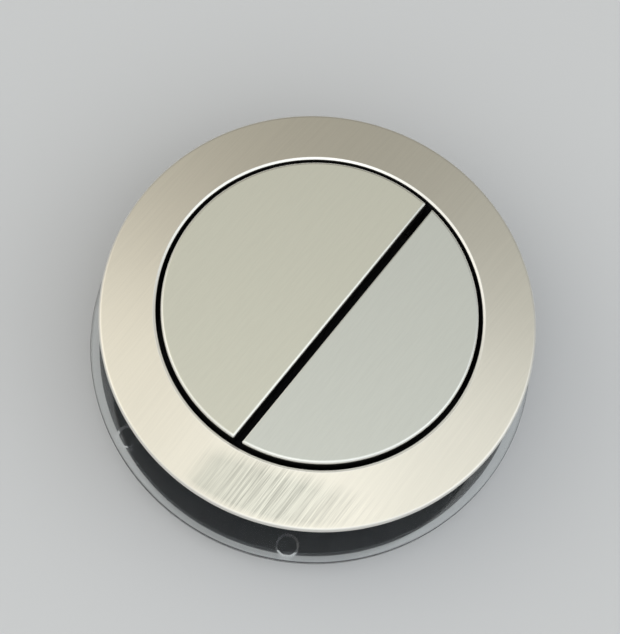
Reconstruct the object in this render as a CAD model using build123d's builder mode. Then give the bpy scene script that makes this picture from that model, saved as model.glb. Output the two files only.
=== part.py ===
from build123d import *
import os
from math import atan2, cos, hypot, radians, sin

# Dual-flush push button for a cistern lid, in millimetres.
# z = 0 is the top of the lid that the button clamps to, and Z is the axis of the round hole in it.
# The slot between the two buttons runs along Y: the full-flush button is on -X, the half-flush one on +X.

# Bezel: a pressed metal ring round the buttons, a shallow cone with a turned-down rim
bezel_width = 9.4
bezel_rim_height = 1.1
bezel_rise = 2.0
bezel_wall = 0.8
bezel_rim_bevel = 0.4
bezel_hole_bevel = 0.3

# Gasket between the lid and the flange
gasket_thickness = 1.0
gasket_inset = 0.3
gasket_hole_clearance = 0.4

# Body: flanged shank with a coarse right-hand thread, both drawn with straight sides
thread_height = 1.0
thread_pitch = 3.0
thread_turns = 6
thread_sides = 24
thread_root_width = 1.9
thread_crest_width = 0.7
thread_root_sink = 0.1
thread_end_distance = 1.1
shank_wall = 1.5
shank_length = 22.0
ledge_height = 8.0
ledge_thickness = 2.0
ledge_width = 2.6
keyway_count = 2
keyway_angle = 90
keyway_width = 4.0
keyway_depth = 0.7
keyway_stop = 1.0
body_key_width = 3.0
body_key_reach = 1.2

# Clear washer under the lid, with two tabs in the keyways and shallow moulding marks
washer_width = 8.7
washer_thickness = 1.8
tab_root = 0.7
mark_diameter = 3.5
mark_sides = 8
mark_depth = 0.3
mark_edge_distance = 0.9
mark_pairs = 2
mark_pair_spread = 54.0
mark_pair_angle = -86.1

# Clamp nut on the shank's thread, run down to the end
nut_height = 5.85
nut_wall = 2.1
nut_end_distance = 0.5
nut_flange_thickness = 1.6
nut_flange_inset = 1.5
lug_count = 6
lug_width = 9.0
lug_reach = 2.6
lug_bevel = 1.0

# Buttons: thin metal caps on moulded carriers with square stems
button_diameter = 52.5
button_proud = 0.75
slot_offset = 3.27
slot_width = 1.5
cap_wall = 0.8
cap_skirt = 4.0
cap_edge_bevel = 0.35
cap_corner_round = 0.5
press_travel = 5.5
carrier_plate = 1.6
carrier_rib = 1.2
carrier_rib_depth = 2.5
stem_share = 0.43
stem_size = 5.6
stem_notch_depth = 0.8
rod_socket_diameter = 3.3
rod_socket_depth = 9.0

# Guide plate on the shank's ledge
plate_thickness = 2.0
guide_wall = 1.2
guide_corner_bevel = 0.8
plate_rib = 1.4
plate_rib_depth = 2.5
plate_rib_spread = 17.0
drain_count = 4
drain_length = 10.0
drain_width = 4.0
drain_edge_distance = 1.9

# Return springs and the clips that hold the stems in their guides
spring_wire = 0.9
spring_turns = 4.5
spring_bends_per_turn = 12
clip_thickness = 0.8
clip_width = 10.0
clip_length = 9.0
clip_base = 1.8

# Clearances
button_gap = 0.85
shank_hole_margin = 0.4
spring_clearance = 0.6
press_fit_gap = 0.1
running_clearance = 0.08
thread_clearance = 0.1
loose_clearance = 0.3
plate_clearance = 0.2
stop_gap = 0.3
groove_play = 0.05
cut_margin = 5.0

# Radii, from the buttons outwards
button_radius = button_diameter / 2
hole_radius = button_radius + button_gap
bezel_radius = hole_radius + bezel_width
rim_inner_radius = bezel_radius - bezel_wall
flange_radius = rim_inner_radius - press_fit_gap
shank_inner_radius = hole_radius + shank_hole_margin
shank_root_radius = shank_inner_radius + shank_wall
shank_crest_radius = shank_root_radius + thread_height
ledge_radius = shank_inner_radius - ledge_width
keyway_radius = shank_root_radius - keyway_depth
body_key_radius = shank_inner_radius - body_key_reach
washer_bore_radius = shank_crest_radius + loose_clearance
washer_radius = washer_bore_radius + washer_width
nut_bore_radius = shank_crest_radius + thread_clearance
nut_radius = nut_bore_radius + nut_wall

# Stem guides, and the springs that stand round them
guide_bore = stem_size + 2 * running_clearance
guide_size = guide_bore + 2 * guide_wall
guide_corner_radius = hypot(guide_size / 2, guide_size / 2 - guide_corner_bevel)
spring_radius = guide_corner_radius + spring_clearance + spring_wire

# Levels, from the lid upwards and then downwards
rim_bottom_z = gasket_thickness
rim_top_z = rim_bottom_z + bezel_rim_height
hole_edge_z = rim_top_z + bezel_rise
button_top_z = hole_edge_z + button_proud
cap_under_z = button_top_z - cap_wall
carrier_under_z = cap_under_z - carrier_plate
ledge_z = ledge_height - shank_length
plate_top_z = ledge_z + plate_thickness
guide_top_z = carrier_under_z - press_travel - stop_gap
clip_top_z = ledge_z - press_fit_gap
stem_end_z = -shank_length + press_travel + stop_gap
nut_bottom_z = nut_end_distance - shank_length
washer_under_z = nut_bottom_z + nut_height
washer_top_z = washer_under_z + washer_thickness

# Slope of the bezel's cone, and how far its sheet's underside lies below its top
bezel_slope = bezel_rise / (bezel_radius - hole_radius)
bezel_wall_drop = bezel_wall / cos(atan2(bezel_rise, bezel_radius - hole_radius))


def bezel_under_z(radius):
    return rim_top_z + (bezel_radius - radius) * bezel_slope - bezel_wall_drop


def slot_edge_x(side, inset):
    return slot_offset + side * (slot_width / 2 + inset)


def stem_x(side):
    depth = button_radius - side * slot_edge_x(side, 0)
    return slot_edge_x(side, 0) + side * stem_share * depth


def segment(side, inset):
    """Draws one button's outline, set in by a wall, in the sketch that is open."""
    reach = 2 * button_radius
    beyond_slot = Align.MIN if side > 0 else Align.MAX
    Circle(button_radius - inset)
    with Locations((slot_edge_x(side, inset), 0)):
        Rectangle(reach, reach, align=(beyond_slot, Align.CENTER), mode=Mode.INTERSECT)


def save(part, name):
    part.label = name
    export_step(part, f"parts/{name}.step")


os.makedirs("parts", exist_ok=True)

# Bezel, its rim pressed over the body's flange
with BuildPart() as bezel:
    with BuildSketch(Plane.XZ) as bezel_profile:
        with BuildLine():
            Polyline(
                (bezel_radius, rim_bottom_z),
                (bezel_radius, rim_top_z),
                (hole_radius, hole_edge_z),
                (hole_radius, bezel_under_z(hole_radius)),
                (rim_inner_radius, bezel_under_z(rim_inner_radius)),
                (rim_inner_radius, rim_bottom_z),
                close=True,
            )
        make_face()
        rim_corner = bezel_profile.vertices().sort_by_distance((bezel_radius, rim_top_z))[0]
        chamfer(rim_corner, bezel_rim_bevel)
        hole_corner = bezel_profile.vertices().sort_by_distance((hole_radius, hole_edge_z))[0]
        chamfer(hole_corner, bezel_hole_bevel)
    revolve(axis=Axis.Z)

save(bezel.part, "bezel")

# Gasket
with BuildPart() as gasket:
    with BuildSketch():
        Circle(bezel_radius - gasket_inset)
        Circle(shank_crest_radius + gasket_hole_clearance, mode=Mode.SUBTRACT)
    extrude(amount=gasket_thickness)

save(gasket.part, "gasket")

# Body
with BuildPart() as body:
    # Shank, with one side for each bend of the thread
    with BuildSketch(Plane.XY.offset(-shank_length)):
        RegularPolygon(shank_root_radius, thread_sides)
        Circle((shank_inner_radius + keyway_radius) / 2, mode=Mode.SUBTRACT)
    extrude(amount=shank_length + rim_bottom_z)
    # Thread, its two ends in a keyway
    for bend in range(thread_turns * thread_sides + 1):
        turns = bend / thread_sides
        section_angle = radians(keyway_angle + 360 * turns)
        section_z = thread_end_distance - shank_length + thread_pitch * turns
        outward = Vector(cos(section_angle), sin(section_angle), 0)
        along = outward.cross(Vector(0, 0, 1))
        with BuildSketch(Plane((0, 0, section_z), x_dir=outward, z_dir=along)):
            with BuildLine():
                Polyline(
                    (shank_root_radius - thread_root_sink, -thread_root_width / 2),
                    (shank_crest_radius, -thread_crest_width / 2),
                    (shank_crest_radius, thread_crest_width / 2),
                    (shank_root_radius - thread_root_sink, thread_root_width / 2),
                    close=True,
                )
            make_face()
    loft(ruled=True)
    # Flange, inner wall and the ledge for the guide plate
    with BuildSketch(Plane.XZ):
        with BuildLine():
            Polyline(
                (flange_radius, rim_bottom_z),
                (flange_radius, bezel_under_z(flange_radius) - press_fit_gap),
                (shank_inner_radius, bezel_under_z(shank_inner_radius) - press_fit_gap),
                (shank_inner_radius, ledge_z),
                (ledge_radius, ledge_z),
                (ledge_radius, ledge_z - ledge_thickness),
                (shank_inner_radius, ledge_z - ledge_thickness),
                (shank_inner_radius, -shank_length),
                (keyway_radius, -shank_length),
                (keyway_radius, rim_bottom_z),
                close=True,
            )
        make_face()
    revolve(axis=Axis.Z)
    # Keyways for the washer's tabs, open at the shank's end
    with BuildSketch(Plane.XY.offset(-shank_length)):
        with PolarLocations(keyway_radius, keyway_count, start_angle=keyway_angle):
            Rectangle(cut_margin, keyway_width, align=(Align.MIN, Align.CENTER))
    extrude(amount=shank_length - keyway_stop, mode=Mode.SUBTRACT)
    # Keys above the ledge that stop the guide plate turning
    with BuildSketch(Plane.XY.offset(ledge_z)):
        with PolarLocations(body_key_radius, keyway_count, start_angle=keyway_angle):
            key_depth = body_key_reach + (shank_wall - keyway_depth) / 2
            Rectangle(key_depth, body_key_width, align=(Align.MIN, Align.CENTER))
    extrude(amount=plate_thickness)

save(body.part, "body")

# Guide plate
with BuildPart() as guide_plate:
    stem_places = [(stem_x(side), 0) for side in (-1, 1)]
    with BuildSketch(Plane.XY.offset(ledge_z)):
        Circle(shank_inner_radius - plate_clearance)
        with PolarLocations(body_key_radius - plate_clearance, keyway_count, start_angle=keyway_angle):
            notch_width = body_key_width + 2 * plate_clearance
            Rectangle(cut_margin, notch_width, align=(Align.MIN, Align.CENTER), mode=Mode.SUBTRACT)
        drain_radius = ledge_radius - drain_edge_distance - drain_width / 2
        with PolarLocations(drain_radius, drain_count, start_angle=180 / drain_count):
            Rectangle(drain_width, drain_length, mode=Mode.SUBTRACT)
    extrude(amount=plate_thickness)
    # Square guide tubes for the two stems
    with BuildSketch(Plane.XY.offset(ledge_z)) as tubes:
        with Locations(*stem_places):
            Rectangle(guide_size, guide_size)
        chamfer(tubes.vertices(), guide_corner_bevel)
    extrude(amount=guide_top_z - ledge_z)
    # Stiffening ribs below the plate, inside the ledge
    with BuildSketch(Plane.XY.offset(ledge_z)):
        with Locations((0, plate_rib_spread / 2), (0, -plate_rib_spread / 2)):
            Rectangle(2 * ledge_radius, plate_rib)
        with Locations((sum(x for x, y in stem_places) / 2, 0)):
            Rectangle(plate_rib, 2 * ledge_radius)
        Circle(ledge_radius - loose_clearance, mode=Mode.INTERSECT)
    extrude(amount=-plate_rib_depth)
    with BuildSketch(Plane.XY.offset(ledge_z)):
        with Locations(*stem_places):
            Rectangle(guide_bore, guide_bore)
    extrude(amount=guide_top_z - ledge_z, mode=Mode.SUBTRACT)

save(guide_plate.part, "guide_plate")

# Clear washer
with BuildPart() as clear_washer:
    with BuildSketch(Plane.XY.offset(washer_under_z)):
        Circle(washer_radius)
        Circle(washer_bore_radius, mode=Mode.SUBTRACT)
    extrude(amount=washer_thickness)
    # Tabs that slide in the shank's keyways
    with BuildSketch(Plane.XY.offset(washer_under_z)):
        tab_radius = keyway_radius + loose_clearance
        tab_length = washer_bore_radius + tab_root - tab_radius
        with PolarLocations(tab_radius, keyway_count, start_angle=keyway_angle):
            Rectangle(tab_length, keyway_width - 2 * loose_clearance, align=(Align.MIN, Align.CENTER))
    extrude(amount=washer_thickness)
    # Shallow marks in the top face, in pairs
    with BuildSketch(Plane.XY.offset(washer_top_z)):
        mark_circle_radius = washer_radius - mark_edge_distance - mark_diameter / 2
        for turn in (-mark_pair_spread / 2, mark_pair_spread / 2):
            with PolarLocations(mark_circle_radius, mark_pairs, start_angle=mark_pair_angle + turn):
                RegularPolygon(mark_diameter / 2, mark_sides)
    extrude(amount=-mark_depth, mode=Mode.SUBTRACT)

save(clear_washer.part, "clear_washer")

# Clamp nut, with a flange that bears on the washer and lugs below it
with BuildPart() as clamp_nut:
    with BuildSketch(Plane.XY.offset(washer_under_z)):
        Circle(washer_radius - nut_flange_inset)
    extrude(amount=-nut_flange_thickness)
    with BuildSketch(Plane.XY.offset(washer_under_z)) as lugs:
        with PolarLocations(nut_radius - lug_reach, lug_count):
            Rectangle(2 * lug_reach, lug_width, align=(Align.MIN, Align.CENTER))
        chamfer(lugs.vertices(), lug_bevel)
        Circle(nut_radius)
    extrude(amount=-nut_height)
    with BuildSketch(Plane.XY.offset(washer_under_z)):
        Circle(nut_bore_radius)
    extrude(amount=-nut_height, mode=Mode.SUBTRACT)

save(clamp_nut.part, "clamp_nut")


# The pieces that each button has: cap, carrier, return spring and retaining clip
def build_button(name, side):
    stem_place = (stem_x(side), 0)

    with BuildPart() as cap:
        with BuildSketch(Plane.XY.offset(button_top_z)):
            segment(side, 0)
        extrude(amount=-cap_skirt)
        fillet(cap.edges().filter_by(Axis.Z), cap_corner_round)
        chamfer(cap.faces().sort_by(Axis.Z)[-1].edges(), cap_edge_bevel)
        with BuildSketch(Plane.XY.offset(cap_under_z)):
            segment(side, cap_wall)
        extrude(amount=cap_wall - cap_skirt, mode=Mode.SUBTRACT)

    save(cap.part, f"{name}_cap")

    with BuildPart() as carrier:
        with BuildSketch(Plane.XY.offset(cap_under_z)) as plate_outline:
            segment(side, cap_wall + press_fit_gap)
        extrude(amount=-carrier_plate)
        # Cross ribs under the plate, whose inner ends centre the spring
        with BuildSketch(Plane.XY.offset(carrier_under_z)):
            with Locations(stem_place):
                Rectangle(2 * button_diameter, carrier_rib)
                Rectangle(carrier_rib, 2 * button_diameter)
            add(plate_outline.sketch_local, mode=Mode.INTERSECT)
            with Locations(stem_place):
                Circle(spring_radius + loose_clearance, mode=Mode.SUBTRACT)
        extrude(amount=-carrier_rib_depth)
        with BuildSketch(Plane.XY.offset(carrier_under_z)):
            with Locations(stem_place):
                Rectangle(stem_size, stem_size)
        extrude(amount=stem_end_z - carrier_under_z)
        # Notches on both sides of the stem for the retaining clip
        with BuildSketch(Plane.XY.offset(clip_top_z + groove_play)):
            notch_reach = stem_size / 2 - stem_notch_depth
            with Locations((stem_x(side) + notch_reach, 0)):
                Rectangle(cut_margin, 2 * stem_size, align=(Align.MIN, Align.CENTER))
            with Locations((stem_x(side) - notch_reach, 0)):
                Rectangle(cut_margin, 2 * stem_size, align=(Align.MAX, Align.CENTER))
        extrude(amount=-clip_thickness - 2 * groove_play, mode=Mode.SUBTRACT)
        # Socket that takes a push rod
        with BuildSketch(Plane.XY.offset(stem_end_z)):
            with Locations(stem_place):
                Circle(rod_socket_diameter / 2)
        extrude(amount=rod_socket_depth, mode=Mode.SUBTRACT)

    save(carrier.part, f"{name}_carrier")

    # The wire is drawn as short straight bends, its ends ground flat against the two seats
    with BuildPart() as spring:
        spring_height = carrier_under_z - plate_top_z
        coil_radius = spring_radius - spring_wire / 2
        bends = round(spring_turns * spring_bends_per_turn)
        coil_points = []
        for bend in range(bends + 1):
            angle = radians(360 * spring_turns * bend / bends)
            coil_points.append(
                (
                    stem_x(side) + coil_radius * cos(angle),
                    coil_radius * sin(angle),
                    plate_top_z + spring_height * bend / bends,
                )
            )
        with BuildLine() as coil:
            Polyline(coil_points)
        with BuildSketch(Plane(coil.line @ 0, z_dir=coil.line % 0)):
            Rectangle(spring_wire, spring_wire)
        sweep(path=coil.line, transition=Transition.RIGHT)
        split(bisect_by=Plane.XY.offset(plate_top_z), keep=Keep.TOP)
        split(bisect_by=Plane.XY.offset(carrier_under_z), keep=Keep.BOTTOM)

    save(spring.part, f"{name}_spring")

    with BuildPart() as clip:
        clip_slot = stem_size - 2 * stem_notch_depth + 2 * groove_play
        clip_slot_end = stem_size / 2 + press_fit_gap
        with BuildSketch(Plane.XY.offset(clip_top_z)):
            with Locations((stem_x(side), clip_slot_end + clip_base)):
                Rectangle(clip_width, clip_length, align=(Align.CENTER, Align.MAX))
            with Locations((stem_x(side), clip_slot_end)):
                Rectangle(clip_slot, clip_length, align=(Align.CENTER, Align.MAX), mode=Mode.SUBTRACT)
        extrude(amount=-clip_thickness)

    save(clip.part, f"{name}_clip")


build_button("full", -1)
build_button("half", 1)
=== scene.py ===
import math

import bmesh
import bpy
from mathutils import Matrix, Vector


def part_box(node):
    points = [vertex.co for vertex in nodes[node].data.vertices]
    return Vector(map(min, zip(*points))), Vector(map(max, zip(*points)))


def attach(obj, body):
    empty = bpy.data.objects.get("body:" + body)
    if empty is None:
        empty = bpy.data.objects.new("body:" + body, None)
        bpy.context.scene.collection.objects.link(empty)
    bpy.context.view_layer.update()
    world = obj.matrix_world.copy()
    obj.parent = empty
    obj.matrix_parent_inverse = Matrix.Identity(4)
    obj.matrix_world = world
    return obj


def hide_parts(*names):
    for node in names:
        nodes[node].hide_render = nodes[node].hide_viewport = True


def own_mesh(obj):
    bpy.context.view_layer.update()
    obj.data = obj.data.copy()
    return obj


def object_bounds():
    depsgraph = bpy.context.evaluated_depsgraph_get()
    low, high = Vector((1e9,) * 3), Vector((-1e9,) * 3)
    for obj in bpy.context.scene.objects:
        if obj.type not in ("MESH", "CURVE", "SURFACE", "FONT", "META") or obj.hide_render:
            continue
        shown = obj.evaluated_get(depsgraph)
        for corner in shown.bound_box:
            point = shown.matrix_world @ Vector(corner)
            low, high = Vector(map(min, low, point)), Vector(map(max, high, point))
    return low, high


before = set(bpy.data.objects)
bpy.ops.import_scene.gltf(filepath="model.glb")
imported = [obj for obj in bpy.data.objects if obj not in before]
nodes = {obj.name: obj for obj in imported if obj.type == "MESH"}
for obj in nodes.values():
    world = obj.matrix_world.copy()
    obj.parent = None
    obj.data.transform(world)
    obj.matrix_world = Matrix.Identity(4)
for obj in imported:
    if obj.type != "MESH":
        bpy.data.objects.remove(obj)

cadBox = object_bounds()
mm = 0.001
tiny = 0.002 * mm  # points closer than this are one point
scene = bpy.context.scene


# Helpers for modelling

def compass(heading):  # a level direction, counter-clockwise from +X
    turn = math.radians(heading)
    return math.cos(turn), math.sin(turn), 0


def clearSelection():
    if bpy.context.mode != "OBJECT":
        bpy.ops.object.mode_set(mode="OBJECT")
    bpy.ops.object.select_all(action="DESELECT")


def choose(piece):
    clearSelection()
    piece.select_set(True)
    bpy.context.view_layer.objects.active = piece


def startPiece(name):
    clearSelection()
    bpy.ops.mesh.primitive_plane_add(size=mm)
    piece = bpy.context.object
    piece.name = name
    piece.data.name = name
    bpy.ops.object.mode_set(mode="EDIT")
    bpy.ops.mesh.select_mode(type="VERT")
    bpy.ops.mesh.merge(type="CENTER")  # the plane becomes one point, to draw from
    return piece


def drawLine(points):  # extrudes the picked point from place to place
    bpy.ops.transform.translate(value=points[0])
    for last, point in zip(points, points[1:]):
        bpy.ops.mesh.extrude_vertices_move(TRANSFORM_OT_translate={"value": point - last})


def pick(piece, kind, test):
    bpy.ops.mesh.select_mode(type=kind)
    bpy.ops.mesh.select_all(action="DESELECT")
    shape = bmesh.from_edit_mesh(piece.data)
    items = {"EDGE": shape.edges, "FACE": shape.faces}[kind]
    for item in items:
        if test(item):
            item.select_set(True)
    shape.select_flush_mode()
    bmesh.update_edit_mesh(piece.data)


def closeMesh():
    bpy.ops.mesh.select_all(action="SELECT")
    bpy.ops.mesh.remove_doubles(threshold=tiny)
    bpy.ops.mesh.normals_make_consistent(inside=False)


def finishPiece(piece, body, smoothAngle):
    choose(piece)
    bpy.ops.object.mode_set(mode="EDIT")
    bpy.ops.mesh.select_all(action="SELECT")
    bpy.ops.mesh.remove_doubles(threshold=tiny)  # cuts leave points that almost meet
    bpy.ops.mesh.dissolve_degenerate(threshold=tiny)
    bpy.ops.object.mode_set(mode="OBJECT")
    bpy.ops.object.transform_apply(location=True, rotation=True, scale=True)
    bpy.ops.object.shade_smooth_by_angle(angle=math.radians(smoothAngle))
    bpy.ops.object.select_all(action="DESELECT")
    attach(piece, body)


def applyModifier(piece, kind, **settings):
    choose(piece)
    modifier = piece.modifiers.new(kind.lower(), kind)
    for key, value in settings.items():
        setattr(modifier, key, value)
    bpy.ops.object.modifier_apply(modifier=modifier.name)


def cutWith(piece, tool, operation):  # joins or cuts with a tool, which is then removed
    applyModifier(piece, "BOOLEAN", object=tool, operation=operation, solver="EXACT")
    bpy.data.objects.remove(tool)


def roundCorners(corners, segments, support):  # corners are (radius, level, rounding)
    points = []
    for index, (radius, level, rounding) in enumerate(corners):
        here = Vector((radius, 0, level))
        before, after = corners[index - 1], corners[(index + 1) % len(corners)]
        back = (Vector((before[0], 0, before[1])) - here).normalized()
        ahead = (Vector((after[0], 0, after[1])) - here).normalized()
        half = back.angle(ahead) / 2
        reach = rounding / math.tan(half)
        middle = here + (back + ahead).normalized() * rounding / math.sin(half)
        start = here + back * reach - middle
        turn = (math.pi - 2 * half) * (1 if start.cross(ahead).y > 0 else -1)
        points.append(here + back * (reach + support))  # keeps the flat before the bend flat
        for step in range(segments + 1):
            points.append(middle + Matrix.Rotation(turn * step / segments, 3, "Y") @ start)
        points.append(here + ahead * (reach + support))
    points.append(points[0])
    return points


def lathe(name, corners, look):
    piece = startPiece(name)
    drawLine(roundCorners(corners, look["bendSegments"], look["support"]))
    bpy.ops.mesh.select_all(action="SELECT")
    bpy.ops.mesh.spin(steps=look["steps"], angle=math.tau, center=(0, 0, 0), axis=(0, 0, 1))
    closeMesh()
    return piece


def makeSlab(name, outline, bottom, top):  # a flat outline, filled and raised
    piece = startPiece(name)
    drawLine([Vector((point[0], point[1], bottom)) for point in outline])
    bpy.ops.mesh.select_all(action="SELECT")
    bpy.ops.mesh.remove_doubles(threshold=tiny)
    bpy.ops.mesh.edge_face_add()
    bpy.ops.mesh.extrude_region_move(TRANSFORM_OT_translate={"value": (0, 0, top - bottom)})
    closeMesh()
    return piece


def makeBlock(name, side, width, near, far, bottom, top):  # a block that lies along Y, on one side
    half = width / 2
    outline = [(-half, near), (half, near), (half, far), (-half, far), (-half, near)]
    return makeSlab(name, [(x, side * y) for x, y in outline], bottom, top)


def roundEdges(piece, level, size, segments):  # rounds the edges that lie at one level
    pick(piece, "EDGE", lambda item: all(abs(corner.co.z - level) < tiny for corner in item.verts))
    bpy.ops.mesh.bevel(offset=size, segments=segments, affect="EDGES")


def ridgeOutline(base, tip, level, baseWidth, tipWidth):  # section of a screw ridge, closed
    wide, narrow = baseWidth / 2, tipWidth / 2
    outline = [(base, level - wide), (tip, level - narrow), (tip, level + narrow), (base, level + wide)]
    return outline + outline[:1]


def makeRidge(name, outline, first, turns, pitch, stepsPerTurn):  # a right-hand screw ridge
    piece = startPiece(name)
    steps = round(stepsPerTurn * turns)
    turn = Matrix.Rotation(math.radians(first), 3, "Z")
    drawLine([turn @ Vector((radius, 0, level)) for radius, level in outline])
    closeMesh()
    applyModifier(
        piece, "SCREW", axis="Z", angle=math.tau * turns, screw_offset=pitch * turns, steps=steps,
        render_steps=steps, use_merge_vertices=False,
    )
    bpy.ops.object.mode_set(mode="EDIT")
    bpy.ops.mesh.select_mode(type="EDGE")
    bpy.ops.mesh.select_all(action="DESELECT")
    bpy.ops.mesh.select_non_manifold(extend=False)
    bpy.ops.mesh.fill_holes(sides=0)  # closes the two ends
    closeMesh()
    return piece


# Bezel

bezelLook = {
    "holeRadius": 27.1 * mm,
    "rimHeight": 1.1 * mm,
    "rise": 2.0 * mm,
    "wall": 0.8 * mm,
    "rimRound": 0.7 * mm,
    "lipWidth": 0.40 * mm,
    "lipDrop": 0.22 * mm,
    "lipRound": 0.1 * mm,
    "innerRound": 0.1 * mm,
    "steps": 288,
    "bendSegments": 6,
    "support": 0.03 * mm,
    "smoothAngle": 40,
}


def makeBezel():
    low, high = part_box("bezel")
    rimTop = low.z + bezelLook["rimHeight"]
    slope = bezelLook["rise"] / (high.x - bezelLook["holeRadius"])
    holeTop = rimTop + bezelLook["rise"]
    lipTop = holeTop - bezelLook["lipWidth"] * slope
    drop = bezelLook["wall"] * math.hypot(1, slope)
    inner = high.x - bezelLook["wall"]
    corners = [
        (high.x, low.z, bezelLook["innerRound"]),
        (high.x, rimTop, bezelLook["rimRound"]),
        (bezelLook["holeRadius"] + bezelLook["lipWidth"], lipTop, bezelLook["lipRound"]),
        (bezelLook["holeRadius"], lipTop - bezelLook["lipDrop"], bezelLook["lipRound"]),
        (bezelLook["holeRadius"], holeTop - drop, bezelLook["innerRound"]),
        (inner, rimTop + (high.x - inner) * slope - drop, bezelLook["innerRound"]),
        (inner, low.z, bezelLook["innerRound"]),
    ]
    piece = lathe("bezelRing", corners, bezelLook)
    finishPiece(piece, "housing", bezelLook["smoothAngle"])
    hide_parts("bezel")
    return piece


bezelRing = makeBezel()
print("bezel turned")


# Button caps

capLook = {
    "edgeRound": 0.48 * mm,  # along the arc
    "slotRound": {"fullCap": 0.42 * mm, "halfCap": 0.2 * mm},  # along the slot
    "cornerRound": 0.2 * mm,
    "edgeProfile": 0.4,
    "wall": 0.8 * mm,
    "arcSteps": 96,  # each step is longer than the bevel, or its corner folds over
    "edgeSegments": 6,
    "support": 0.03 * mm,
    "cutMargin": 1 * mm,
    "smoothAngle": 40,
}


def buttonOutline(radius, edge, side):  # a segment of a circle
    reach = math.acos(side * edge / radius)
    points = []
    for step in range(capLook["arcSteps"] + 1):
        angle = reach * (2 * step / capLook["arcSteps"] - 1)
        points.append((side * radius * math.cos(angle), radius * math.sin(angle)))
    points.append(points[0])
    return points


def weighEdges(piece, test, weight):  # sets how much of the bevel an edge gets
    shape = bmesh.from_edit_mesh(piece.data)
    layers = shape.edges.layers.float
    layer = layers.get("bevel_weight_edge") or layers.new("bevel_weight_edge")
    for edge in shape.edges:
        if test([corner.co for corner in edge.verts]):
            edge[layer] = weight
    bmesh.update_edit_mesh(piece.data)


def makeCap(name, node, body, side):
    low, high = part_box(node)
    radius = max(-low.x, high.x)
    edge = high.x if side < 0 else low.x
    wall, width = capLook["wall"], capLook["edgeRound"]
    piece = makeSlab(name, buttonOutline(radius, edge, side), low.z, high.z)

    def onTop(ends):
        return all(end.z > high.z - tiny for end in ends)

    def atSlot(ends):
        return all(abs(end.x - edge) < tiny for end in ends)

    def upright(ends):
        return abs(ends[0].y - ends[1].y) < tiny

    weighEdges(piece, onTop, 1)
    weighEdges(piece, lambda ends: atSlot(ends) and onTop(ends), capLook["slotRound"][name] / width)
    weighEdges(piece, lambda ends: atSlot(ends) and upright(ends), capLook["cornerRound"] / width)
    applyModifier(
        piece, "BEVEL", limit_method="WEIGHT", width=width, segments=capLook["edgeSegments"],
        profile=capLook["edgeProfile"], use_clamp_overlap=False,
    )
    bpy.ops.object.mode_set(mode="EDIT")
    pick(piece, "FACE", lambda item: item.calc_center_median().z > high.z - tiny)
    bpy.ops.mesh.inset(thickness=capLook["support"])  # keeps the top flat
    inner = buttonOutline(radius - wall, edge + side * wall, side)
    pocket = makeSlab(name + "Pocket", inner, low.z - capLook["cutMargin"], high.z - wall)
    cutWith(piece, pocket, "DIFFERENCE")
    finishPiece(piece, body, capLook["smoothAngle"])
    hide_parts(node)
    return piece


fullCap = makeCap("fullCap", "full_cap", "full_button", -1)
halfCap = makeCap("halfCap", "half_cap", "half_button", 1)
print("caps made")


# Clear washer

washerLook = {
    "bore": 30.3 * mm,
    "rimRound": 0.35 * mm,
    "boreRound": 0.2 * mm,
    "tabRadius": 28.6 * mm,
    "tabRoot": 31 * mm,
    "tabWidth": 3.4 * mm,
    "tabInset": 0.1 * mm,
    "markRadius": 2.0 * mm,
    "markFloorRadius": 1.6 * mm,
    "markCircle": 36.35 * mm,
    "markDepth": 0.35 * mm,
    "markAngles": (-113.1, -59.1, 66.9, 120.9),
    "markSteps": 64,
    "steps": 240,
    "bendSegments": 6,
    "support": 0.03 * mm,
    "smoothAngle": 40,
}


def makeWasher():
    low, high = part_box("clear_washer")
    corners = [
        (high.x, low.z, washerLook["rimRound"]),
        (high.x, high.z, washerLook["rimRound"]),
        (washerLook["bore"], high.z, washerLook["boreRound"]),
        (washerLook["bore"], low.z, washerLook["boreRound"]),
    ]
    piece = lathe("clearWasher", corners, washerLook)
    inset = washerLook["tabInset"]
    for side in (1, -1):
        tab = makeBlock(
            "tab", side, washerLook["tabWidth"], washerLook["tabRadius"], washerLook["tabRoot"],
            low.z + inset, high.z - inset,
        )
        cutWith(piece, tab, "UNION")
    flare = washerLook["markRadius"] - washerLook["markFloorRadius"]
    for angle in washerLook["markAngles"]:
        clearSelection()
        middle = [washerLook["markCircle"] * part for part in compass(angle)[:2]]
        bpy.ops.mesh.primitive_cone_add(
            vertices=washerLook["markSteps"], radius1=washerLook["markFloorRadius"],
            radius2=washerLook["markRadius"] + flare, depth=2 * washerLook["markDepth"],
            location=(*middle, high.z),
        )
        cutWith(piece, bpy.context.object, "DIFFERENCE")
    finishPiece(piece, "washer", washerLook["smoothAngle"])
    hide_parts("clear_washer")
    return piece


clearWasher = makeWasher()
print("washer made")


# Flanged shank with its thread, and the nut that runs on it

threadLook = {
    "foot": 28.6 * mm,
    "crest": 30.0 * mm,
    "pitch": 3.0 * mm,
    "footWidth": 2.2 * mm,
    "crestWidth": 0.7 * mm,
    "bottom": -20.9 * mm,
    "turns": 6,
    "stepsPerTurn": 96,
}

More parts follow.
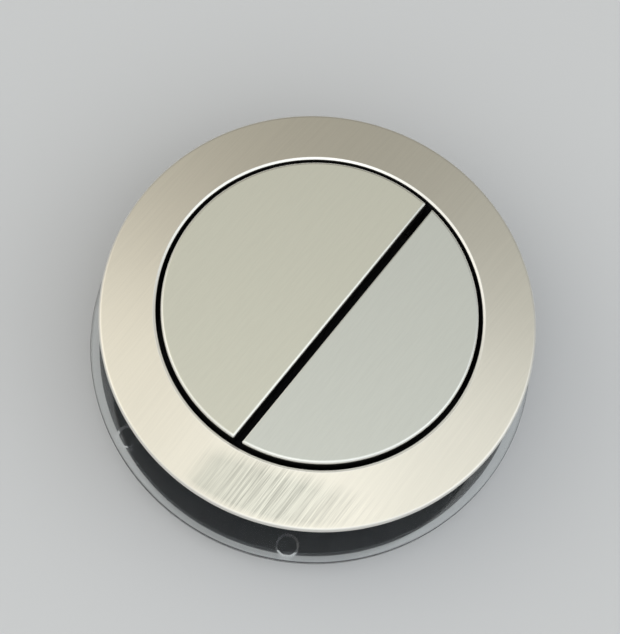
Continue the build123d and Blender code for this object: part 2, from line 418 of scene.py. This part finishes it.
shankLook = {
    "flangeRadius": 35.6 * mm,
    "flangeUnder": 1.0 * mm,
    "flangeEdge": 0.37 * mm,
    "root": 29.0 * mm,
    "inner": 27.5 * mm,
    "ledgeRadius": 24.9 * mm,
    "ledgeTop": -14.0 * mm,
    "ledgeThickness": 2.0 * mm,
    "keywayAngle": 90,  # where the thread starts
    "keywayWidth": 4.0 * mm,
    "keywayFloor": 28.3 * mm,
    "keywayTop": -1.0 * mm,
    "keyWidth": 3.0 * mm,
    "keyRadius": 26.3 * mm,
    "keyTop": -12.0 * mm,
    "keySink": 0.5 * mm,  # into the wall and the ledge
    "cutMargin": 1 * mm,
    "edgeRound": 0.12 * mm,
    "steps": 192,
    "bendSegments": 2,
    "support": 0.02 * mm,
    "smoothAngle": 30,
}


def makeThread():
    outline = ridgeOutline(
        threadLook["foot"], threadLook["crest"], threadLook["bottom"], threadLook["footWidth"],
        threadLook["crestWidth"],
    )
    return makeRidge(
        "thread", outline, shankLook["keywayAngle"], threadLook["turns"], threadLook["pitch"],
        threadLook["stepsPerTurn"],
    )


def makeShank():
    low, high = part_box("body")
    edge = shankLook["edgeRound"]
    root, inner, ledge = shankLook["root"], shankLook["inner"], shankLook["ledgeRadius"]
    flange, under = shankLook["flangeRadius"], shankLook["flangeUnder"]
    ledgeUnder = shankLook["ledgeTop"] - shankLook["ledgeThickness"]
    sink = shankLook["keySink"]
    corners = [
        (flange, under, edge),
        (flange, under + shankLook["flangeEdge"], edge),
        (inner, high.z, edge),
        (inner, shankLook["ledgeTop"], edge),
        (ledge, shankLook["ledgeTop"], edge),
        (ledge, ledgeUnder, edge),
        (inner, ledgeUnder, edge),
        (inner, low.z, edge),
        (root, low.z, edge),
        (root, under, edge),
    ]
    piece = lathe("shank", corners, shankLook)
    cutWith(piece, makeThread(), "UNION")
    for side in (1, -1):
        keyway = makeBlock(
            "keyway", side, shankLook["keywayWidth"], shankLook["keywayFloor"], flange,
            low.z - shankLook["cutMargin"], shankLook["keywayTop"],
        )
        cutWith(piece, keyway, "DIFFERENCE")
        key = makeBlock(
            "key", side, shankLook["keyWidth"], shankLook["keyRadius"], inner + sink,
            shankLook["ledgeTop"] - sink, shankLook["keyTop"],
        )
        cutWith(piece, key, "UNION")
    finishPiece(piece, "housing", shankLook["smoothAngle"])
    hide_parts("body")
    return piece


shank = makeShank()
print("shank turned and threaded")

nutLook = {
    "seatGap": 0.05 * mm,
    # the flange is wide, so that it also stands in for the shade under the ring, seen through the clear
    # washer
    "flangeRadius": 37.5 * mm,
    "flangeThickness": 1.6 * mm,
    "radius": 32.2 * mm,
    "bore": 30.2 * mm,
    "edgeRound": 0.4 * mm,
    "filletRound": 0.5 * mm,
    "lugCount": 6,
    "lugWidth": 9.0 * mm,
    "lugReach": 34.8 * mm,
    "lugRoot": 31.0 * mm,
    "lugRound": 1.2 * mm,
    "lugEdgeRound": 0.4 * mm,
    "ridgeInner": 29.15 * mm,
    "ridgeOuter": 30.5 * mm,
    "ridgeTopWidth": 0.7 * mm,
    "ridgeRootWidth": 2.1 * mm,
    "ridgeBottom": -20.4 * mm,
    "ridgeFirst": -30,
    "ridgeTurns": 1.23,
    "steps": 192,
    "bendSegments": 5,
    "support": 0.03 * mm,
    "smoothAngle": 35,
    "ridgeSmoothAngle": 30,
}


def makeNut():
    low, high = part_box("clamp_nut")
    edge, fillet = nutLook["edgeRound"], nutLook["filletRound"]
    flangeUnder = high.z - nutLook["flangeThickness"]
    seat = high.z - nutLook["seatGap"]
    corners = [
        (nutLook["flangeRadius"], flangeUnder, edge),
        (nutLook["flangeRadius"], seat, edge),
        (nutLook["bore"], seat, edge),
        (nutLook["bore"], low.z, edge),
        (nutLook["radius"], low.z, edge),
        (nutLook["radius"], flangeUnder, fillet),
    ]
    piece = lathe("clampNut", corners, nutLook)
    half = nutLook["lugWidth"] / 2
    lugCorners = [
        (nutLook["lugRoot"], -half, 0),
        (nutLook["lugReach"], -half, nutLook["lugRound"]),
        (nutLook["lugReach"], half, nutLook["lugRound"]),
        (nutLook["lugRoot"], half, 0),
    ]
    outline = [(point.x, point.z) for point in roundCorners(lugCorners, nutLook["bendSegments"], 0)]
    for number in range(nutLook["lugCount"]):
        lug = makeSlab("lug", outline, low.z, high.z - nutLook["flangeThickness"] / 2)
        roundEdges(lug, low.z, nutLook["lugEdgeRound"], nutLook["bendSegments"])
        bpy.ops.mesh.select_all(action="SELECT")
        angle = math.tau * number / nutLook["lugCount"]
        bpy.ops.transform.rotate(value=-angle, orient_axis="Z", center_override=(0, 0, 0))
        cutWith(piece, lug, "UNION")
    finishPiece(piece, "nut", nutLook["smoothAngle"])
    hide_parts("clamp_nut")
    return piece


def makeNutThread():
    outline = ridgeOutline(
        nutLook["ridgeOuter"], nutLook["ridgeInner"], nutLook["ridgeBottom"], nutLook["ridgeRootWidth"],
        nutLook["ridgeTopWidth"],
    )
    piece = makeRidge(
        "nutThread", outline, nutLook["ridgeFirst"], nutLook["ridgeTurns"], threadLook["pitch"],
        threadLook["stepsPerTurn"],
    )
    finishPiece(piece, "nut", nutLook["ridgeSmoothAngle"])
    return piece


clampNut = makeNut()
nutThread = makeNutThread()
print("nut made")


# Return springs

springLook = {
    "coilRadius": 6.28 * mm,
    "wire": 0.9 * mm,
    "turns": 6,
    "endTurns": 1,
    "endPitch": 0.92 * mm,
    "stepsPerTurn": 36,
    "wireResolution": 4,
    "keep": 0.6194,  # share of its length when pressed
    "smoothAngle": 40,
}


def makeSpring(name, node):
    low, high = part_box(node)
    middle = (low.x + high.x) / 2
    radius, wire = springLook["coilRadius"], springLook["wire"]
    turns, ends = springLook["turns"], springLook["endTurns"]
    rise = high.z - low.z - wire
    openPitch = (rise - 2 * ends * springLook["endPitch"]) / (turns - 2 * ends)
    points = []
    for step in range(turns * springLook["stepsPerTurn"] + 1):
        turn = step / springLook["stepsPerTurn"]
        closed = min(turn, ends) + max(turn - turns + ends, 0)
        level = low.z + wire / 2 + closed * springLook["endPitch"] + (turn - closed) * openPitch
        angle = math.tau * turn
        points.append(Vector((middle + radius * math.cos(angle), radius * math.sin(angle), level)))
    piece = startPiece(name)
    drawLine(points)
    choose(piece)
    bpy.ops.object.convert(target="CURVE")
    curve = bpy.context.object.data
    curve.bevel_depth = wire / 2
    curve.bevel_resolution = springLook["wireResolution"]
    curve.use_fill_caps = True
    bpy.ops.object.convert(target="MESH")
    piece = bpy.context.object
    bpy.ops.object.mode_set(mode="EDIT")
    closeMesh()
    finishPiece(piece, "housing", springLook["smoothAngle"])
    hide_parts(node)
    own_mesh(piece)
    return piece


fullSpring = makeSpring("fullSpring", "full_spring")
halfSpring = makeSpring("halfSpring", "half_spring")
print("springs wound")


# Node groups and materials

def newMaterial(name):
    material = bpy.data.materials.new(name)
    material.use_nodes = True
    return material, material.node_tree.nodes, material.node_tree.links


def dress(material, *pieces):
    for piece in pieces:
        piece.data.materials.clear()
        piece.data.materials.append(material)


def newGroup(name, inputs, outputs):
    group = bpy.data.node_groups.new(name, "ShaderNodeTree")
    for label in inputs:
        group.interface.new_socket(label, in_out="INPUT", socket_type="NodeSocketFloat")
    for label in outputs:
        group.interface.new_socket(label, in_out="OUTPUT", socket_type="NodeSocketFloat")
    return group, group.nodes.new("NodeGroupInput"), group.nodes.new("NodeGroupOutput")


def addMath(tree, operation, first, second=0):
    node = tree.nodes.new("ShaderNodeMath")
    node.operation = operation
    for socket, value in zip(node.inputs, (first, second)):
        if isinstance(value, (int, float)):
            socket.default_value = value
        else:
            tree.links.new(value, socket)
    return node.outputs["Value"]


def addNoise(tree, vector, scale, detail, roughness):
    node = tree.nodes.new("ShaderNodeTexNoise")
    node.inputs["Scale"].default_value = scale
    node.inputs["Detail"].default_value = detail
    node.inputs["Roughness"].default_value = roughness
    tree.links.new(vector, node.inputs["Vector"])
    return node.outputs["Fac"]


def addRange(tree, value, fromMin, fromMax, toMin, toMax):
    node = tree.nodes.new("ShaderNodeMapRange")
    limits = {"From Min": fromMin, "From Max": fromMax, "To Min": toMin, "To Max": toMax}
    for label, number in limits.items():
        node.inputs[label].default_value = number
    tree.links.new(value, node.inputs["Value"])
    return node.outputs["Result"]


def addDot(tree, vector, direction):
    node = tree.nodes.new("ShaderNodeVectorMath")
    node.operation = "DOT_PRODUCT"
    node.inputs[1].default_value = direction
    tree.links.new(vector, node.inputs[0])
    return node.outputs["Value"]


# A mix node has sockets for numbers, vectors and colours: these are the factor and the two colours.
mixInputs = (0, 6, 7)
mixOutput = 2


def addMix(tree, factor, first, second, blend="MIX"):  # each value is a constant or a socket
    node = tree.nodes.new("ShaderNodeMix")
    node.data_type = "RGBA"
    node.blend_type = blend
    for index, value in zip(mixInputs, (factor, first, second)):
        if isinstance(value, bpy.types.NodeSocket):
            tree.links.new(value, node.inputs[index])
        else:
            node.inputs[index].default_value = value
    return node.outputs[mixOutput]


def blendColour(tree, factor, colour, spread):  # from a darker to a lighter shade of one colour
    darker = [part * (1 - spread) for part in colour] + [1]
    lighter = [part * (1 + spread) for part in colour] + [1]
    return addMix(tree, factor, darker, lighter)


def addBump(tree, height, distance, strength):
    node = tree.nodes.new("ShaderNodeBump")
    node.inputs["Strength"].default_value = strength
    node.inputs["Distance"].default_value = distance
    tree.links.new(height, node.inputs["Height"])
    return node.outputs["Normal"]


def placeGroup(items, group, **values):
    node = items.new("ShaderNodeGroup")
    node.node_tree = group
    for label, value in values.items():
        node.inputs[label].default_value = value
    return node


# Each range is two values of the noise and what they become.
streakLook = {
    "middle": 0.5,  # the tone that changes nothing
    "detail": 3.0,
    "noiseRoughness": 0.6,
    "fineAlong": 2.3,
    "broadRange": (0.4, 0.6, 0.03, 0.53),
    "hairRange": (0.38, 0.62, 0.0, 0.44),
}


def makeStreakGroup():  # brushing along Y: broad streaks and fine hairlines
    group, inputs, outputs = newGroup("brushStreaks", ("Across", "Along", "Fine"), ("Tone", "Height"))
    detail, roughness = streakLook["detail"], streakLook["noiseRoughness"]
    place = group.nodes.new("ShaderNodeTexCoord")
    layers = []
    for finer in (False, True):
        across = inputs.outputs["Across"]
        along = inputs.outputs["Along"]
        if finer:
            across = addMath(group, "MULTIPLY", across, inputs.outputs["Fine"])
            along = addMath(group, "MULTIPLY", along, streakLook["fineAlong"])
        stretch = group.nodes.new("ShaderNodeCombineXYZ")
        group.links.new(across, stretch.inputs["X"])
        group.links.new(along, stretch.inputs["Y"])
        group.links.new(along, stretch.inputs["Z"])
        scaled = group.nodes.new("ShaderNodeVectorMath")
        scaled.operation = "MULTIPLY"
        group.links.new(place.outputs["Object"], scaled.inputs[0])
        group.links.new(stretch.outputs["Vector"], scaled.inputs[1])
        layers.append(addNoise(group, scaled.outputs["Vector"], 1.0, detail, roughness))
    broad = addRange(group, layers[0], *streakLook["broadRange"])
    hair = addRange(group, layers[1], *streakLook["hairRange"])
    tone = addMath(group, "ADD", broad, hair)
    group.links.new(tone, outputs.inputs["Tone"])
    group.links.new(layers[1], outputs.inputs["Height"])
    return group


grainLook = {
    "detail": 3.0,
    "noiseRoughness": 0.6,
    "flowScale": 160.0,
    "flowDetail": 2.0,
    "flowRoughness": 0.5,
    "toneSpan": (0.3, 0.7),  # where the roughness is at its two ends
}


def makeGrainGroup():  # fine moulded skin over slow flow marks
    group, inputs, outputs = newGroup("mouldGrain", ("Size",), ("Tone", "Height"))
    place = group.nodes.new("ShaderNodeTexCoord")
    scaled = group.nodes.new("ShaderNodeVectorMath")
    scaled.operation = "SCALE"
    group.links.new(place.outputs["Object"], scaled.inputs[0])
    group.links.new(inputs.outputs["Size"], scaled.inputs["Scale"])
    fine = addNoise(group, scaled.outputs["Vector"], 1.0, grainLook["detail"], grainLook["noiseRoughness"])
    flow = addNoise(
        group, place.outputs["Object"], grainLook["flowScale"], grainLook["flowDetail"],
        grainLook["flowRoughness"],
    )
    mean = addMath(group, "MULTIPLY", addMath(group, "ADD", fine, flow), 0.5)
    group.links.new(mean, outputs.inputs["Tone"])
    group.links.new(fine, outputs.inputs["Height"])
    return group


streakGroup = makeStreakGroup()
grainGroup = makeGrainGroup()

nickelLooks = {
    "brushedNickel": {
        "colour": (0.715, 0.672, 0.567),
        # painted light: towards +X the colour turns to a second one, a little darker on the ring and cooler
        # on the half cap
        "rightShadeColour": (0.70, 0.655, 0.55),
        "split": (10 * mm, 36 * mm),  # along X, from the one colour to the other
        "roughness": 0.36,
        "roughSpread": 0.05,
        "across": 2600,
        "along": 60,
        "fine": 2.6,
        "toneSpread": 0.32,
        "farShare": 0.08,  # of the streaks, outside their sector
        "sectorShadeTint": (0.76, 0.785, 0.79, 1),
        "bump": 0.004 * mm,
        "bumpStrength": 1.0,
        "highlightColour": (0.83, 0.81, 0.75, 1),
        "gapShadeLevels": (1.2 * mm, 1.45 * mm),
        "gapShadeShare": 1.0,  # of the colour, below the lower level
        "gapShadeColour": (0, 0, 0, 1),
    },
    "satinNickel": {
        "colour": (0.66, 0.645, 0.538),
        "rightShadeColour": (0.637, 0.643, 0.578),
        "split": (3 * mm, 3.5 * mm),
        "roughness": 0.40,
        "roughSpread": 0.03,
        "across": 3000,
        "along": 160,
        "fine": 3.0,
        "toneSpread": 0.02,
        "farShare": 1.0,
        "sectorShadeTint": (1, 1, 1, 1),
        "bump": 0.001 * mm,
        "bumpStrength": 1.0,
        "highlightColour": (0.84, 0.83, 0.765, 1),
        # painted shade in the gap: below these levels the colour darkens to this share of itself
        "gapShadeLevels": (4.0 * mm, 4.25 * mm),
        "gapShadeShare": 0.15,
        "gapShadeColour": (0, 0, 0, 1),
    },
}

# Painted light on one sector of the ring: there the brushing streaks show more, as painted glints, and the
# colour is greyed, as painted shade. Each pair is where it starts and where it is full.
# Reach is the distance from the axis towards a heading, sides are along X, and rim is above the ring's rim.
glintSectorLook = {
    "heading": 290,
    "reach": (26.6 * mm, 29.2 * mm),
    "rim": (0.05 * mm, 0.3 * mm),
    "streakSides": ((-1 * mm, 9 * mm), (29 * mm, 14 * mm)),
    "greySides": ((-0.5 * mm, 2.6 * mm), (26 * mm, 16 * mm)),
}

# Painted highlights: the colour at the edges is lightened. Each pair is where the painted highlight starts
# and where it is full.
edgeHighlightLook = {
    "lip": (0.15 * mm, -0.05 * mm),  # outwards from the lip of the ring
    "rim": (-0.5 * mm, -0.15 * mm),  # outwards from the rim of the ring
    "capDrop": (0.01 * mm, 0.08 * mm),  # below the top of a cap
}


def addGlintSector(tree, place, axes, sides):
    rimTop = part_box("bezel")[0].z + bezelLook["rimHeight"]
    rim = [rimTop + height for height in glintSectorLook["rim"]]
    reach = addDot(tree, place, compass(glintSectorLook["heading"]))
    bite = addRange(tree, reach, *glintSectorLook["reach"], 0.0, 1.0)
    for axis, pair in (("X", sides[0]), ("X", sides[1]), ("Z", rim)):
        bite = addMath(tree, "MULTIPLY", bite, addRange(tree, axes.outputs[axis], *pair, 0.0, 1.0))
    return bite


def addRingHighlights(tree, axes):
    lip = bezelLook["holeRadius"] + bezelLook["lipWidth"]
    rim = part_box("bezel")[1].x
    squares = [addMath(tree, "MULTIPLY", axes.outputs[axis], axes.outputs[axis]) for axis in "XY"]
    radius = addMath(tree, "SQRT", addMath(tree, "ADD", *squares))
    atLip = addRange(tree, radius, *[lip + margin for margin in edgeHighlightLook["lip"]], 0.0, 1.0)
    atRim = addRange(tree, radius, *[rim + margin for margin in edgeHighlightLook["rim"]], 0.0, 1.0)
    return addMath(tree, "MAXIMUM", atLip, atRim)


def addCapHighlights(tree, axes):
    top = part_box("full_cap")[1].z
    return addRange(tree, axes.outputs["Z"], *[top - drop for drop in edgeHighlightLook["capDrop"]], 0.0, 1.0)


def makeNickel(name, addHighlights):
    look = nickelLooks[name]
    material, items, links = newMaterial(name)
    tree = material.node_tree
    shader = items["Principled BSDF"]
    shader.inputs["Metallic"].default_value = 1.0
    streaks = placeGroup(items, streakGroup, Across=look["across"], Along=look["along"], Fine=look["fine"])
    place = items.new("ShaderNodeTexCoord").outputs["Object"]
    axes = items.new("ShaderNodeSeparateXYZ")
    links.new(place, axes.inputs["Vector"])
    # painted light: in one sector the streaks show more, as painted glints, and the colour greys, as
    # painted shade
    streakGlintSector = addGlintSector(tree, place, axes, glintSectorLook["streakSides"])
    greyShadeSector = addGlintSector(tree, place, axes, glintSectorLook["greySides"])
    share = addRange(tree, streakGlintSector, 0.0, 1.0, look["farShare"], 1.0)
    middle = streakLook["middle"]
    swing = addMath(tree, "MULTIPLY", addMath(tree, "SUBTRACT", streaks.outputs["Tone"], middle), share)
    tone = addMath(tree, "ADD", swing, middle)
    leftColour = blendColour(tree, tone, look["colour"], look["toneSpread"])
    rightShadeColour = blendColour(tree, tone, look["rightShadeColour"], look["toneSpread"])
    # painted light: along X the colour changes to the right shade colour
    toRight = addRange(tree, axes.outputs["X"], *look["split"], 0.0, 1.0)
    colour = addMix(tree, toRight, leftColour, rightShadeColour)
    colour = addMix(tree, greyShadeSector, colour, look["sectorShadeTint"], "MULTIPLY")
    # painted highlight: the lip and rim of the ring and the top edges of the caps are lightened
    colour = addMix(tree, addHighlights(tree, axes), colour, look["highlightColour"])
    # painted shade: down in the gap, below the lower level, the colour is darkened towards black
    outOfGap = addRange(tree, axes.outputs["Z"], *look["gapShadeLevels"], look["gapShadeShare"], 1.0)
    colour = addMix(tree, outOfGap, look["gapShadeColour"], colour)
    links.new(colour, shader.inputs["Base Color"])
    roughness, spread = look["roughness"], look["roughSpread"]
    rough = addRange(tree, tone, 0.0, 1.0, roughness + spread, roughness - spread)
    links.new(rough, shader.inputs["Roughness"])
    normal = addBump(tree, streaks.outputs["Height"], look["bump"], look["bumpStrength"])
    links.new(normal, shader.inputs["Normal"])
    return material


# Roughness runs from the grain's low tone to its high tone.
grainedLooks = {
    "blackMoulding": {
        "colour": (0.018, 0.018, 0.02), "spread": 0.2, "roughness": (0.50, 0.40), "size": 2500,
        "bump": 0.02 * mm, "bumpStrength": 0.4, "sockets": {},
    },
    # dark moulding of the nut, which also stands in for the shade under the ring, seen through the clear
    # washer
    "nutMoulding": {
        "colour": (0.06, 0.06, 0.063), "spread": 0.2, "roughness": (0.47, 0.37), "size": 2200,
        "bump": 0.02 * mm, "bumpStrength": 0.4, "sockets": {},
    },
    "gasketRubber": {
        "colour": (0.02, 0.02, 0.02), "spread": 0.3, "roughness": (0.80, 0.70), "size": 3500,
        "bump": 0.03 * mm, "bumpStrength": 0.4, "sockets": {},
    },
    "springSteel": {
        "colour": (0.62, 0.62, 0.62), "spread": 0.08, "roughness": (0.34, 0.22), "size": 1800,
        "bump": 0.004 * mm, "bumpStrength": 0.4, "sockets": {"Metallic": 1.0},
    },
    "clearPlastic": {
        "colour": (0.94, 0.965, 0.965), "spread": 0.015, "roughness": (0.02, 0.08), "size": 500,
        "bump": 0.01 * mm, "bumpStrength": 0.2, "sockets": {"Transmission Weight": 1.0, "IOR": 1.49},
    },
}


def makeGrained(name):
    look = grainedLooks[name]
    material, items, links = newMaterial(name)
    shader = items["Principled BSDF"]
    for label, value in look["sockets"].items():
        shader.inputs[label].default_value = value
    tree = material.node_tree
    grain = placeGroup(items, grainGroup, Size=look["size"])
    tone, height = grain.outputs["Tone"], grain.outputs["Height"]
    rough = addRange(tree, tone, *grainLook["toneSpan"], *look["roughness"])
    links.new(blendColour(tree, tone, look["colour"], look["spread"]), shader.inputs["Base Color"])
    links.new(rough, shader.inputs["Roughness"])
    links.new(addBump(tree, height, look["bump"], look["bumpStrength"]), shader.inputs["Normal"])
    return material


dress(makeNickel("brushedNickel", addRingHighlights), bezelRing)
dress(makeNickel("satinNickel", addCapHighlights), fullCap, halfCap)
carriers = nodes["full_carrier"], nodes["half_carrier"]
dress(makeGrained("blackMoulding"), shank, nodes["guide_plate"], *carriers)
dress(makeGrained("nutMoulding"), clampNut, nutThread)
dress(makeGrained("gasketRubber"), nodes["gasket"])
dress(makeGrained("springSteel"), fullSpring, halfSpring, nodes["full_clip"], nodes["half_clip"])
dress(makeGrained("clearPlastic"), clearWasher)
print("materials made")


# Floor, light and camera

floorLook = {"size": 4.0, "colour": (0.58, 0.58, 0.575, 1), "roughness": 0.7}


def makeFloor():
    clearSelection()
    bpy.ops.mesh.primitive_plane_add(size=floorLook["size"], location=(0, 0, cadBox[0].z))
    floor = bpy.context.object
    floor.name = "floor"
    material, items = newMaterial("paleFloor")[:2]
    shader = items["Principled BSDF"]
    shader.inputs["Base Color"].default_value = floorLook["colour"]
    shader.inputs["Roughness"].default_value = floorLook["roughness"]
    dress(material, floor)


makeFloor()

photoLook = {
    "aim": Vector((-0.85, -1.47, 1.55)) * mm,
    "distance": 232.84 * mm,
    "azimuth": 25.9,
    "elevation": 70.67,
    "roll": 12.43,
    "focalPixels": 1400,
    "imageWidth": 620,
    "nearClip": 10 * mm,
}


def makeCamera():
    data = bpy.data.cameras.new("camera")
    data.sensor_fit = "HORIZONTAL"
    data.lens = data.sensor_width * photoLook["focalPixels"] / photoLook["imageWidth"]
    data.clip_start = photoLook["nearClip"]
    camera = bpy.data.objects.new("camera", data)
    scene.collection.objects.link(camera)
    turn = Matrix.Rotation(math.radians(photoLook["azimuth"]), 4, "Z")
    tilt = Matrix.Rotation(math.radians(90 - photoLook["elevation"]), 4, "X")
    roll = Matrix.Rotation(math.radians(photoLook["roll"]), 4, "Z")
    facing = turn @ tilt @ roll
    eye = photoLook["aim"] + facing.to_3x3() @ Vector((0, 0, photoLook["distance"]))
    camera.matrix_world = Matrix.Translation(eye) @ facing
    scene.camera = camera


makeCamera()

# The room is a soft dome, even on the camera's half, darker on the far half, a little warmer on one side
# and dimmer towards the horizon. Headings are from +X, counter-clockwise.
roomLook = {
    "brightHeading": -63,
    "bright": (1.00, 1.025, 1.035, 1),
    "brightFrom": 0.0,  # cosine of the angle to its heading
    "dark": (0.300, 0.293, 0.262, 1),
    "warmHeading": 198,
    "warm": (1.05, 1.0, 0.93, 1),
    "cool": (0.95, 1.0, 1.07, 1),
    "low": (0.55, 0.55, 0.56, 1),
    "high": (1, 1, 1, 1),
    "highFrom": 0.5,  # sine of the elevation
}


def makeRoom():
    room = bpy.data.worlds.new("room")
    room.use_nodes = True
    tree = room.node_tree
    place = tree.nodes.new("ShaderNodeTexCoord")
    mixes = (
        (compass(roomLook["brightHeading"]), "dark", "bright", -1, roomLook["brightFrom"]),
        (compass(roomLook["warmHeading"]), "cool", "warm", -1, 1),
        ((0, 0, 1), "low", "high", 0, roomLook["highFrom"]),
    )
    colour = None
    for direction, first, last, start, full in mixes:
        along = addDot(tree, place.outputs["Generated"], direction)
        shade = addMix(tree, addRange(tree, along, start, full, 0, 1), roomLook[first], roomLook[last])
        colour = shade if colour is None else addMix(tree, 1, colour, shade, "MULTIPLY")
    tree.links.new(colour, tree.nodes["Background"].inputs["Color"])
    scene.world = room


makeRoom()

# Soft panels round the part. Tilt is from straight up, heading from +X, counter-clockwise.
panelLooks = {
    "topPanel": {
        "tilt": 14, "heading": 307, "distance": 0.8, "size": 0.6, "level": 0.36,
        "colour": (0.98, 1.0, 1.04),
    },
    "nearPanel": {
        "tilt": 48, "heading": 302, "distance": 0.9, "size": 0.95, "level": 0.34,
        "colour": (0.97, 1.0, 1.07),
    },
    "leftPanel": {
        "tilt": 60, "heading": 208, "distance": 0.9, "size": 0.95, "level": 0.42,
        "colour": (1.0, 0.99, 0.97),
    },
    "rightPanel": {
        "tilt": 60, "heading": 17, "distance": 0.9, "size": 0.95, "level": 0.45,
        "colour": (0.98, 1.0, 1.03),
    },
}


def makePanel(name):
    look = panelLooks[name]
    data = bpy.data.lights.new(name, "AREA")
    data.shape = "DISK"
    data.size = look["size"]
    data.color = look["colour"]
    data.energy = look["level"] * math.pi * math.pi * look["size"] ** 2 / 4  # level times pi times area
    panel = bpy.data.objects.new(name, data)
    scene.collection.objects.link(panel)
    tilt, heading = math.radians(look["tilt"]), math.radians(look["heading"])
    away = Vector((math.sin(tilt) * math.cos(heading), math.sin(tilt) * math.sin(heading), math.cos(tilt)))
    panel.location = away * look["distance"]
    panel.rotation_euler = away.to_track_quat("Z", "Y").to_euler()


for name in panelLooks:
    makePanel(name)
scene.view_settings.view_transform = "Standard"
print("stage set")
